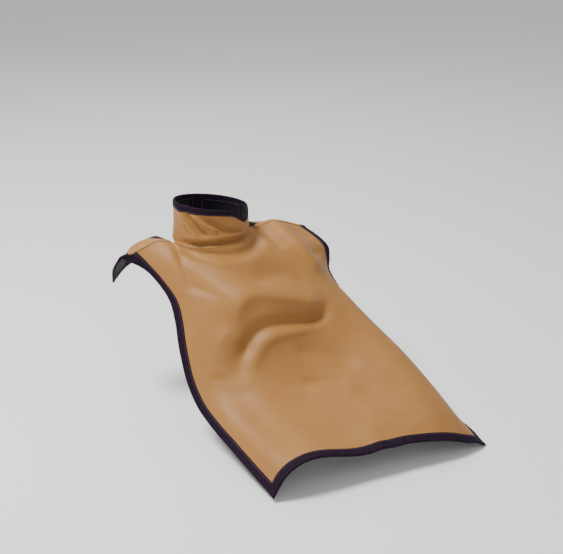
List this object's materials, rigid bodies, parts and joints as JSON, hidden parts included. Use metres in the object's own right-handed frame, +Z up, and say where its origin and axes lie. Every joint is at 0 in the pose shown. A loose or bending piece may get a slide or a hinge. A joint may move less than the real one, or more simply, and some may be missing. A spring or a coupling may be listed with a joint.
{
  "type": "lead apron",
  "caption": "Dental X-ray protection apron with a stand-up collar, draped as worn: layered lead-vinyl laminate with bound edges, back flaps and a hook-and-loop collar closure.",
  "frame": {"origin": "middle of the neck opening, level with the shoulders", "axes": "+Z up; the wearer faces -Y; +X is towards the wearer's left hand"},
  "size_m": [0.5265, 0.6048, 0.4184],
  "materials": {
    "cover": "satin tan urethane-coated nylon",
    "binding": "dark plum woven binding tape",
    "lining": "black woven nylon lining",
    "lead_vinyl": "matt grey lead-loaded vinyl sheet",
    "hook_tape": "moulded nylon hooks",
    "loop_pile": "brushed nylon loop pile"
  },
  "bodies": {
    "apron_front": {"backing_lining": "lining", "lead_vinyl_ply_inner": "lead_vinyl", "lead_vinyl_ply_outer": "lead_vinyl", "outer_cover": "cover", "hem_binding": "binding", "left_side_binding": "binding", "right_side_binding": "binding", "left_armhole_binding": "binding", "right_armhole_binding": "binding", "neck_seam_tape": "binding", "collar_lining": "lining", "collar_lead_vinyl": "lead_vinyl", "collar_cover": "cover", "collar_binding": "binding", "loop_tape": "loop_pile"},
    "collar_rear": {"collar_wing_lining": "lining", "collar_wing_lead_vinyl": "lead_vinyl", "collar_wing_cover": "cover", "collar_wing_binding": "binding", "closure_tab_root": "cover"},
    "tab": {"closure_tab": "cover", "hook_tape": "hook_tape"},
    "left_back_flap": {"left_flap_lining": "lining", "left_flap_lead_vinyl": "lead_vinyl", "left_flap_cover": "cover", "left_flap_binding": "binding"},
    "right_back_flap": {"right_flap_lining": "lining", "right_flap_lead_vinyl": "lead_vinyl", "right_flap_cover": "cover", "right_flap_binding": "binding"}
  },
  "joints": [
    {"name": "collar_opening", "type": "hinge", "parent": "apron_front", "child": "collar_rear", "pos_m": [0.0805, 0.0118, 0.05], "axis": [0, 0, -1], "range_deg": [0, 45]},
    {"name": "tab_peel", "type": "hinge", "parent": "collar_rear", "child": "tab", "pos_m": [0.0054, 0.0687, 0.045], "axis": [0, 0, -1], "range_deg": [0, 110]},
    {"name": "left_flap_lift", "type": "hinge", "parent": "apron_front", "child": "left_back_flap", "pos_m": [0.145, 0.0068, 0.018], "axis": [0.9859, 0.0749, -0.1498], "range_deg": [0, 70]},
    {"name": "right_flap_lift", "type": "hinge", "parent": "apron_front", "child": "right_back_flap", "pos_m": [-0.12, 0.0172, 0.0192], "axis": [0.9178, -0.2778, 0.2838], "range_deg": [0, 70]}
  ]
}
